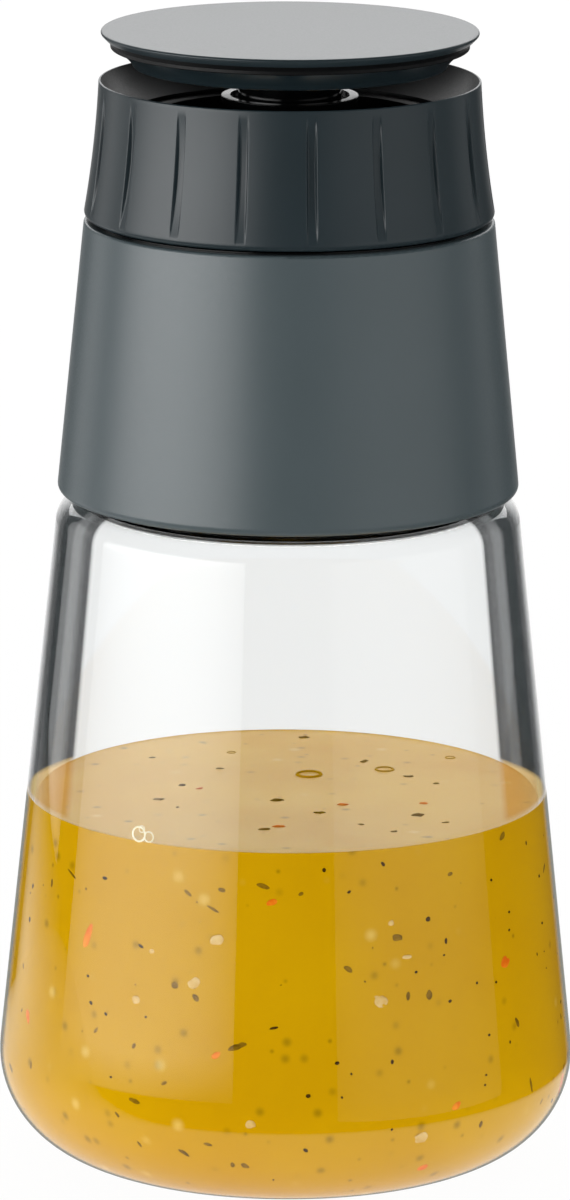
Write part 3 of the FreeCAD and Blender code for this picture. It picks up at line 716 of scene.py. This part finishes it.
PEPPER_PLACES = (
    (274, 1028, 1.3, 0.4, 12), (105, 878, 0.9, 0.5, 0), (141, 946, 0.9, 0.4, -20), (428, 919, 0.7, 0.7, 0),
    (392, 1062, 0.65, 0.45, 90), (308, 1096, 0.65, 0.6, 0), (306, 1151, 0.8, 0.5, -40),
    (324, 870, 0.6, 0.5, 90), (349, 892, 0.6, 0.4, 30), (383, 864, 0.8, 0.45, -45),
    (446, 941, 0.8, 0.45, 85), (491, 880, 0.45, 0.4, 0), (526, 843, 0.6, 0.4, 90), (509, 912, 0.5, 0.4, 0),
    (509, 930, 0.5, 0.4, 0), (450, 1001, 0.6, 0.45, 20), (416, 972, 0.5, 0.35, 0),
    (106, 1014, 0.6, 0.4, -30), (91, 1003, 0.7, 0.5, -30), (88, 976, 0.5, 0.4, 0),
    (146, 1017, 0.45, 0.4, 0), (22, 1010, 0.6, 0.3, 80), (111, 1077, 0.5, 0.3, 0), (337, 1063, 0.6, 0.5, 0),
    (486, 1075, 0.4, 0.3, 0), (485, 1085, 0.4, 0.3, 0), (477, 983, 0.45, 0.4, 0), (496, 982, 0.45, 0.4, 0),
    (510, 1042, 0.5, 0.35, 90), (489, 1035, 0.5, 0.4, 0), (537, 954, 0.5, 0.35, 90),
    (444, 955, 0.4, 0.3, 0),
)
CARROT_PLACES = (
    (88, 936, 3.9, 1.2, 70), (272, 902, 1.6, 1.0, 20), (505, 962, 2.1, 1.5, 15), (28, 1016, 2.2, 1.2, -60),
    (216, 1055, 1.5, 0.9, 40), (457, 1106, 1.7, 0.9, 30), (427, 1166, 1.6, 1.1, 10),
)
ONION_PLACES = (
    (194, 983, 1.9, 1.6, 30), (380, 1001, 2.2, 1.7, -20), (423, 1138, 2.2, 1.6, 0),
    (217, 940, 2.1, 1.4, 15), (391, 923, 0.9, 0.8, 0), (407, 957, 1.5, 0.6, 0), (250, 1125, 1.5, 1.2, 0),
    (152, 951, 0.8, 0.6, 0), (136, 1000, 1.4, 1.1, 20),
)
# Bits that float on the surface, in the same way
FLOATING_HERBS = (
    (277, 800, 2.2, 1.2, 0), (264, 829, 1.8, 1.0, 10), (319, 812, 1.8, 1.4, -10), (417, 815, 2.0, 1.5, 20),
    (159, 799, 1.7, 1.0, 0), (365, 761, 1.6, 1.4, 0), (220, 768, 1.2, 0.8, 0), (304, 737, 1.9, 1.2, 0),
    (360, 824, 1.1, 0.9, 0), (444, 822, 1.0, 0.8, 0), (437, 783, 1.2, 0.9, 30), (178, 807, 0.6, 0.6, 0),
    (182, 785, 1.1, 0.8, 0), (151, 757, 1.0, 0.8, 0), (409, 776, 1.5, 1.0, 0), (393, 831, 1.0, 0.9, 0),
)
FLOATING_CARROTS = (
    (343, 804, 1.7, 1.3, 0), (279, 826, 2.0, 1.2, 0), (199, 788, 1.2, 1.0, 0), (423, 803, 1.3, 1.0, 0),
)
# Bubbles on the surface and at the glass, with their radius in millimetres
SURFACE_BUBBLES = ((309, 774, 1.7), (385, 769, 1.25), (452, 757, 0.7), (231, 752, 0.6))
WALL_BUBBLES = ((139, 834, 1.0), (149, 837, 0.7), (142, 829, 0.45))
# Half the thickness of each kind of bit, in millimetres
HERB_HALF, PEPPER_HALF, FINE_PEPPER_HALF = 0.12, 0.12, 0.1
CARROT_HALF, FLOATING_CARROT_HALF, ONION_HALF = 0.14, 0.1, 0.13
# A bit's fineness, the width of its lumps in millimetres, and a bubble's raised ring: its steps, the steps of
# its section, and its section's radius as a share of its own
BIT_FINENESS, LUMP_WIDTH = 2, 0.9
BUBBLE_STEPS, FILM_STEPS, FILM_SHARE = 28, 8, 0.14
# Degrees by the camera in which the bits stand as photographed, and the shares of the filling's height
# between which the others drift
SHOWN_FRONT, DRIFT_HEIGHTS = 140, (0.03, 0.97)
# Steps of the search for a seen bit's height, and the lowest height in it
SIGHT_STEPS, SIGHT_LOWEST = 40, 0.2
# A surface that leans from the level by less than this sine counts as level
NEARLY_LEVEL = 0.1


def wall_spot(angle, height, inset=0.0, floor=0.0):
    """A point of the flask's wall, or of a surface inside it, and the outward normal there."""
    rounding = FOOT_ROUND - inset
    centre_z = floor + rounding
    look = SIDE_LEAN
    radius = side_radius(height, inset)
    if height < centre_z + rounding * math.sin(SIDE_LEAN):
        look = math.asin(max(-1.0, (height - centre_z) / rounding))
        radius = side_radius(centre_z, FOOT_ROUND) + rounding * math.cos(look)
    outward = Vector((math.cos(angle), math.sin(angle), 0))
    normal = outward * math.cos(look) + Vector((0, 0, math.sin(look)))
    return outward * radius + Vector((0, 0, height)), normal


def line_of_sight(x, y):
    """Direction from the camera through a pixel of the photograph."""
    pixels = CAMERA_LENS / CAMERA_SENSOR * PHOTO_HEIGHT
    ahead = Vector(((x - PHOTO_WIDTH / 2) / pixels, (PHOTO_HEIGHT / 2 - y) / pixels, -1))
    return (camera_turn @ ahead).normalized()


def seen_on_wall(x, y):
    """Angle and height at which the line of sight through a pixel, bent by the glass, meets the filling."""
    start, ray = CAMERA_PLACE / MM, line_of_sight(x, y)
    height = FILL_Z / 2
    for step in range(SIGHT_STEPS):
        radius = wall_spot(0, height)[0].x
        flat = ray.xy.length_squared
        along = -start.xy.dot(ray.xy)
        inside = along ** 2 - flat * (start.xy.length_squared - radius ** 2)
        spot = start + ray * ((along - math.sqrt(max(0.0, inside))) / flat)
        height = (height + max(SIGHT_LOWEST, spot.z)) / 2
    normal = wall_spot(math.atan2(spot.y, spot.x), height)[1]
    across = ray + normal * -ray.dot(normal)
    bent = across / GLASS_INDEX - normal * math.sqrt(1 - across.length_squared / GLASS_INDEX ** 2)
    spot += bent * (WALL / -bent.dot(normal))
    return math.atan2(spot.y, spot.x), spot.z


def seen_on_surface(x, y):
    """Place on the filling's level surface under a pixel."""
    start, ray = CAMERA_PLACE / MM, line_of_sight(x, y)
    return start + ray * ((FILL_Z - start.z) / ray.z)


def turned_to(normal, tilt):
    """Rotation that lays a bit flat on a surface, its length tilted from the level by tilt degrees."""
    level = Vector((0, 0, 1)).cross(normal)
    level = level.normalized() if level.length > NEARLY_LEVEL else Vector((1, 0, 0))
    rise = normal.cross(level)
    length = level * math.cos(math.radians(tilt)) + rise * math.sin(math.radians(tilt))
    return Matrix((length, normal.cross(length), normal)).transposed().to_euler()


def bits_tree(name, ring):
    """Tree that sets a bit, or a bubble's raised ring, on every point, by the points' own size and turn."""
    tree, given = node_group(name, [("Lumpiness", "Float"), ("Grain", "Float"), ("Finish", "Material")])
    size, turn, width = (
        node(tree, "GeometryNodeInputNamedAttribute", {"Name": label}, data_type=kind).outputs["Attribute"]
        for label, kind in (("size", "FLOAT_VECTOR"), ("turn", "FLOAT_VECTOR"), ("width", "FLOAT")))
    facing = node(tree, "FunctionNodeEulerToRotation", {0: turn})
    if ring:
        circle = node(tree, "GeometryNodeCurvePrimitiveCircle", {"Resolution": BUBBLE_STEPS, "Radius": 1.0})
        section = node(tree, "GeometryNodeCurvePrimitiveCircle", {
            "Resolution": FILM_STEPS, "Radius": FILM_SHARE})
        shape = node(tree, "GeometryNodeCurveToMesh", {"Curve": circle, "Profile Curve": section})
    else:
        shape = node(tree, "GeometryNodeMeshIcoSphere", {"Radius": 1.0, "Subdivisions": BIT_FINENESS})
    copies = node(tree, "GeometryNodeInstanceOnPoints", {
        "Points": given["Geometry"], "Instance": shape, "Rotation": facing, "Scale": size})
    whole = node(tree, "GeometryNodeRealizeInstances", {0: copies})
    noise = node(tree, "ShaderNodeTexNoise", {"Scale": given["Grain"], "Detail": 1.0})
    off = node(tree, "ShaderNodeVectorMath", {0: noise.outputs["Color"], 1: (0.5, 0.5, 0.5)},
               operation="SUBTRACT")
    reach = node(tree, "ShaderNodeMath", {0: width, 1: given["Lumpiness"]}, operation="MULTIPLY")
    shift = node(tree, "ShaderNodeVectorMath", {0: off, "Scale": reach}, operation="SCALE")
    lumpy = node(tree, "GeometryNodeSetPosition", {"Geometry": whole, "Offset": shift})
    coated = node(tree, "GeometryNodeSetMaterial", {"Geometry": lumpy, "Material": given["Finish"]})
    node(tree, "NodeGroupOutput", {0: coated})
    return tree


def strewn(name, tree, spots, finish, lumpiness):
    """A piece made of many bits; each spot is a place, a rotation and half sizes in millimetres."""
    made = mesh_object(name, [place for place, turn, half in spots], [], [])
    for label, kind, values in (
            ("size", "FLOAT_VECTOR", [[c * MM for c in half] for place, turn, half in spots]),
            ("turn", "FLOAT_VECTOR", [list(turn) for place, turn, half in spots])):
        made.data.attributes.new(label, kind, "POINT").data.foreach_set("vector", np.ravel(values))
    widths = [half[1] * 2 * MM for place, turn, half in spots]
    made.data.attributes.new("width", "FLOAT", "POINT").data.foreach_set("value", widths)
    grown(made, tree, {"Lumpiness": lumpiness, "Grain": per_mm(LUMP_WIDTH), "Finish": finish})
    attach(made, "flask")


def wall_bits(places, half_thickness):
    """Spots for bits that lie against the glass where the photograph shows them."""
    spots = []
    for x, y, length, width, tilt in places:
        place, normal = wall_spot(*seen_on_wall(x, y), FILLING_INSET, FILLING_FOOT)
        spots.append((place, turned_to(normal, tilt), (length / 2, width / 2, half_thickness)))
    return spots


def floating_bits(places, half_thickness):
    """Spots for bits that float on the filling."""
    up = Vector((0, 0, 1))
    return [(seen_on_surface(x, y), turned_to(up, tilt), (length / 2, width / 2, half_thickness))
            for x, y, length, width, tilt in places]


def drifting_bits(count, lengths, slimness, half_thickness, seed, clear_front=SHOWN_FRONT):
    """Seeded spots for bits round the wall, with clear_front degrees by the camera kept free."""
    draw = np.random.default_rng(seed)
    spots = []
    for k in range(count):
        angle = math.radians(-90 + clear_front / 2 + draw.uniform(0, 360 - clear_front))
        height = FLOOR + (FILL_Z - FLOOR) * draw.uniform(*DRIFT_HEIGHTS)
        length = draw.uniform(*lengths)
        place, normal = wall_spot(angle, height, FILLING_INSET, FILLING_FOOT)
        half = (length / 2, length / 2 * draw.uniform(*slimness), half_thickness)
        spots.append((place, turned_to(normal, draw.uniform(-90, 90)), half))
    return spots


bits = bits_tree("bits_on_points", ring=False)
strewn("herb_flakes", bits,
       wall_bits(HERB_PLACES, HERB_HALF) + floating_bits(FLOATING_HERBS, HERB_HALF)
       + drifting_bits(52, lengths=(0.8, 2.6), slimness=(0.3, 0.6), half_thickness=HERB_HALF, seed=11),
       herb, lumpiness=0.5)
strewn("pepper_specks", bits,
       wall_bits(PEPPER_PLACES, PEPPER_HALF)
       + drifting_bits(60, lengths=(0.3, 0.9), slimness=(0.5, 0.9), half_thickness=PEPPER_HALF, seed=12)
       + drifting_bits(46, lengths=(0.2, 0.42), slimness=(0.6, 0.9), half_thickness=FINE_PEPPER_HALF, seed=13,
                       clear_front=0),
       pepper, lumpiness=0.4)
strewn("carrot_bits", bits,
       wall_bits(CARROT_PLACES, CARROT_HALF) + floating_bits(FLOATING_CARROTS, FLOATING_CARROT_HALF)
       + drifting_bits(13, lengths=(1.2, 3.6), slimness=(0.35, 0.7), half_thickness=CARROT_HALF, seed=14),
       carrot, lumpiness=0.4)
strewn("onion_bits", bits,
       wall_bits(ONION_PLACES, ONION_HALF)
       + drifting_bits(14, lengths=(1.0, 2.3), slimness=(0.6, 0.9), half_thickness=ONION_HALF, seed=15),
       onion, lumpiness=0.4)
bubbles = [(seen_on_surface(x, y), turned_to(Vector((0, 0, 1)), 0), (radius, radius, radius))
           for x, y, radius in SURFACE_BUBBLES]
rings = bits_tree("rings_on_points", ring=True)
strewn("surface_bubbles", rings, bubbles, dressing_side, lumpiness=0.0)
foamy = []
for x, y, radius in WALL_BUBBLES:
    place, normal = wall_spot(*seen_on_wall(x, y), FILLING_INSET, FILLING_FOOT)
    foamy.append((place, turned_to(normal, 0), (radius, radius, radius)))
# The pale rings of the bubbles at the glass are partly a painted highlight
strewn("wall_bubbles", rings, foamy, foam_and_painted_highlight, lumpiness=0.0)


# Stage: floor, lamps and camera

# The floor's half width in millimetres, its tone, and the share of it that looks plain white
GROUND_REACH, GROUND_TONE, GROUND_WHITE = 6000, "#f2f2f2", 0.97
# Of the floor, the gloss of the foot shows only the part close by, which reaches further to the left
GLEAM_RADIUS, GLEAM_FULL, GLEAM_Z, GLEAM_FADE, GLEAM_STEPS = 68, 62, 0.02, 0.5, 128
GLEAM_LEFT, GLEAM_LEFT_TURN, GLEAM_LEFT_FOCUS = 200, math.radians(170), 6


def seen_white(name, share, fading=False):
    """A pale matt floor whose seen side is plain white by the given share, so that its shadow is soft.

    A fading one is clear where its attribute near is 0.
    """
    made, tree = new_material(name)
    path = node(tree, "ShaderNodeLightPath")
    first = node(tree, "ShaderNodeMath", {0: path.outputs["Is Camera Ray"], 1: path.outputs["Is Glossy Ray"]},
                 operation="MAXIMUM")
    seen = node(tree, "ShaderNodeMath", {0: first, 1: path.outputs["Is Transmission Ray"]},
                operation="MAXIMUM")
    part = node(tree, "ShaderNodeMath", {0: seen, 1: share}, operation="MULTIPLY")
    matt = node(tree, "ShaderNodeBsdfDiffuse", {"Color": linear(GROUND_TONE)})
    white = node(tree, "ShaderNodeEmission", {"Color": (1, 1, 1, 1), "Strength": 1.0})
    both = node(tree, "ShaderNodeMixShader", {0: part, 1: matt, 2: white})
    if fading:
        near = node(tree, "ShaderNodeAttribute", attribute_name="near").outputs["Fac"]
        kept = node(tree, "ShaderNodeMath", {0: near, 1: GLEAM_FADE}, operation="POWER")
        clear = node(tree, "ShaderNodeBsdfTransparent")
        both = node(tree, "ShaderNodeMixShader", {0: kept, 1: clear, 2: both})
    node(tree, "ShaderNodeOutputMaterial", {"Surface": both})
    return made


corners = [(x * GROUND_REACH, y * GROUND_REACH, 0) for x, y in ((-1, -1), (1, -1), (1, 1), (-1, 1))]
floor = mesh_object("floor", corners, [(0, 1, 2, 3)], [seen_white("pale_floor", GROUND_WHITE)])
floor.visible_glossy = False

rim = []
for turn in np.linspace(0, math.tau, GLEAM_STEPS, endpoint=False):
    reach = GLEAM_RADIUS + GLEAM_LEFT * max(0.0, math.cos(turn - GLEAM_LEFT_TURN)) ** GLEAM_LEFT_FOCUS
    rim += [(radius * math.cos(turn), radius * math.sin(turn), GLEAM_Z) for radius in (GLEAM_FULL, reach)]
around = [(2 * i, 2 * i + 1, (2 * i + 3) % len(rim), (2 * i + 2) % len(rim)) for i in range(GLEAM_STEPS)]
gleam = mesh_object("floor_near_the_foot", rim, [tuple(range(0, len(rim), 2))] + around,
                    [seen_white("pale_floor_near", 1.0, fading=True)])
gleam.data.attributes.new("near", "FLOAT", "POINT").data.foreach_set("value", [1.0, 0.0] * GLEAM_STEPS)
gleam.visible_camera = gleam.visible_diffuse = gleam.visible_transmission = gleam.visible_shadow = False


def compass(azimuth, distance, height):
    """A place round the object: azimuth 0 is the camera's side, and positive is to the right of it."""
    turn = math.radians(azimuth)
    return Vector((distance * math.sin(turn), -distance * math.cos(turn), height))


# Watts that a square metre of lamp takes for a radiance of 1
LAMP_WATTS = 4
# The middle of a lamp's width, as a share of it
MIDDLE = 0.5
# Half the width over which a lamp's mask fades, as a share of the lamp's height
MASK_BLUR = 0.012
# The share of its height from which a lamp fades to nothing at its top
TOP_FADE = 0.78


def softbox(name, azimuth, distance, height, size, radiance, aim=0.08, fade=0.0, foot=1.0, dim_to=0.4,
            cut=(0.0, 0.0, 0.0), through=False):
    """A flat lamp that faces the height aim on the object's axis, unseen by the camera.

    A lamp with fade has sides that are weaker than its middle by that share, and goes out at its top. Its
    foot has the share foot of its radiance, which grows to the whole at the share dim_to of its height. It is
    masked below the shares cut of its height, given for one end, the middle and the other end. It shows
    through the glass only where through says so.
    """
    lamp = bpy.data.lights.new(name, "AREA")
    lamp.shape = "RECTANGLE"
    lamp.size, lamp.size_y = size
    lamp.energy = LAMP_WATTS * size[0] * size[1] * radiance
    if fade:
        lamp.use_nodes = True
        tree = lamp.node_tree
        tree.nodes.clear()
        surface = node(tree, "ShaderNodeNewGeometry")
        spot = node(tree, "ShaderNodeSeparateXYZ", {0: surface.outputs["Parametric"]})
        off = node(tree, "ShaderNodeMath", {0: spot.outputs["X"], 1: MIDDLE}, operation="SUBTRACT")
        square = node(tree, "ShaderNodeMath", {0: off, 1: off}, operation="MULTIPLY")
        level = node(tree, "ShaderNodeMapRange", {0: square, 2: MIDDLE ** 2, 3: 1.0, 4: 1.0 - fade})
        rise = node(tree, "ShaderNodeMapRange", {
            0: spot.outputs["Y"], 1: dim_to / 2, 2: dim_to, 3: foot, 4: 1.0})
        bend = 2 * (cut[0] + cut[2] - 2 * cut[1])
        slope = node(tree, "ShaderNodeMath", {0: spot.outputs["X"], 1: bend, 2: cut[2] - cut[0] - bend},
                     operation="MULTIPLY_ADD")
        mask = node(tree, "ShaderNodeMath", {0: spot.outputs["X"], 1: slope, 2: cut[0]},
                    operation="MULTIPLY_ADD")
        over = node(tree, "ShaderNodeMath", {0: spot.outputs["Y"], 1: mask}, operation="SUBTRACT")
        shown = node(tree, "ShaderNodeMapRange", {0: over, 1: -MASK_BLUR, 2: MASK_BLUR})
        top = node(tree, "ShaderNodeMapRange", {0: spot.outputs["Y"], 1: TOP_FADE, 2: 1.0, 3: 1.0, 4: 0.0})
        strength = level
        for part in (rise, shown, top):
            strength = node(tree, "ShaderNodeMath", {0: strength, 1: part}, operation="MULTIPLY")
        glow = node(tree, "ShaderNodeEmission", {"Strength": strength})
        node(tree, "ShaderNodeOutputLight", {0: glow})
    made = bpy.data.objects.new(name, lamp)
    scene.collection.objects.link(made)
    made.location = compass(azimuth, distance, height)
    made.rotation_euler = (Vector((0, 0, aim)) - made.location).to_track_quat("-Z", "Y").to_euler()
    made.visible_camera, made.visible_transmission = False, through
    return made


# Each lamp's azimuth in degrees, distance and height in metres, width and height, and radiance
softbox("left_softbox", -61, 0.8, 0.12, (1.37, 0.56), 4.0, aim=0.12, fade=0.7, foot=0.46, dim_to=0.52,
        cut=(0.042, 0.174, 0.180))
softbox("right_softbox", 57, 0.8, 0.10, (1.2, 0.60), 0.5, aim=0.10, fade=0.5, foot=0.6)
softbox("left_back_strip", -126, 0.8, 0.1625, (0.31, 0.475), 0.9, aim=0.1625, fade=0.5)
softbox("left_low_strip", -128, 0.8, -0.1925, (0.56, 0.235), 0.97, aim=-0.1925, fade=0.9)
softbox("right_back_strip", 122, 0.8, 0.177, (0.26, 0.446), 0.4, aim=0.177, fade=0.4)
softbox("back_fill", 180, 1.2, 0.9, (1.8, 1.0), 3.1, aim=0.1, through=True).visible_glossy = False
softbox("floor_bounce", 0, 0.0, 0.0006, (0.3, 0.3), 0.53, aim=1.0).visible_glossy = False
softbox("back_softbox", 180, 1.2, 0.88, (1.8, 1.0), 1.5, aim=0.3, through=True).visible_diffuse = False
softbox("top_fill", 0, 0.3, 1.5, (2.0, 2.0), 0.6, through=True).visible_glossy = False
softbox("front_fill", 10, 1.6, 0.7, (1.6, 1.2), 1.0).visible_glossy = False
softbox("right_fill", 75, 1.0, 0.4, (1.0, 0.8), 1.0).visible_glossy = False

# White all round for the camera and through the glass, with a dark ceiling; only the white wall behind
# the object shows in its gloss
# Between two upward slopes the white gives way to the ceiling, and between two angles from straight behind,
# in radians, the wall ends in the gloss; the last value of each is what is left of it
CEILING_FROM, CEILING_FULL, CEILING_LEVEL = 0.25, 0.45, 0.05
BACKDROP_TO, BACKDROP_END, BESIDE_LEVEL = 0.16, 0.44, 0.02
AMBIENT_LEVEL = 0.02
world = bpy.data.worlds.new("studio")
scene.world = world
world.use_nodes = True
sky_tree = world.node_tree
sky_tree.nodes.clear()
path = node(sky_tree, "ShaderNodeLightPath")
way = node(sky_tree, "ShaderNodeSeparateXYZ", {0: node(sky_tree, "ShaderNodeTexCoord").outputs["Generated"]})
low = node(sky_tree, "ShaderNodeMapRange", {
    0: way.outputs["Z"], 1: CEILING_FROM, 2: CEILING_FULL, 3: 1.0, 4: CEILING_LEVEL})
aside = node(sky_tree, "ShaderNodeMath", {0: way.outputs["X"]}, operation="ABSOLUTE")
turn = node(sky_tree, "ShaderNodeMath", {0: aside, 1: way.outputs["Y"]}, operation="ARCTAN2")
behind = node(sky_tree, "ShaderNodeMapRange", {
    0: turn, 1: BACKDROP_TO, 2: BACKDROP_END, 3: 1.0, 4: BESIDE_LEVEL})
glossy = node(sky_tree, "ShaderNodeMath", {0: path.outputs["Is Glossy Ray"], 1: behind},
              operation="MULTIPLY")
bounced = node(sky_tree, "ShaderNodeMath", {0: path.outputs["Is Transmission Ray"], 1: glossy},
               operation="MAXIMUM")
below = node(sky_tree, "ShaderNodeMath", {0: bounced, 1: low}, operation="MULTIPLY")
seen = node(sky_tree, "ShaderNodeMath", {0: path.outputs["Is Camera Ray"], 1: below},
            operation="MAXIMUM")
level = node(sky_tree, "ShaderNodeMapRange", {0: seen, 3: AMBIENT_LEVEL, 4: 1.0})
sky = node(sky_tree, "ShaderNodeBackground", {"Color": (1, 1, 1, 1), "Strength": level})
node(sky_tree, "ShaderNodeOutputWorld", {"Surface": sky})

camera = bpy.data.objects.new("camera", bpy.data.cameras.new("camera"))
scene.collection.objects.link(camera)
scene.camera = camera
camera.data.sensor_width = CAMERA_SENSOR
camera.data.lens = CAMERA_LENS
camera.location = CAMERA_PLACE
camera.rotation_euler = camera_turn.to_euler()
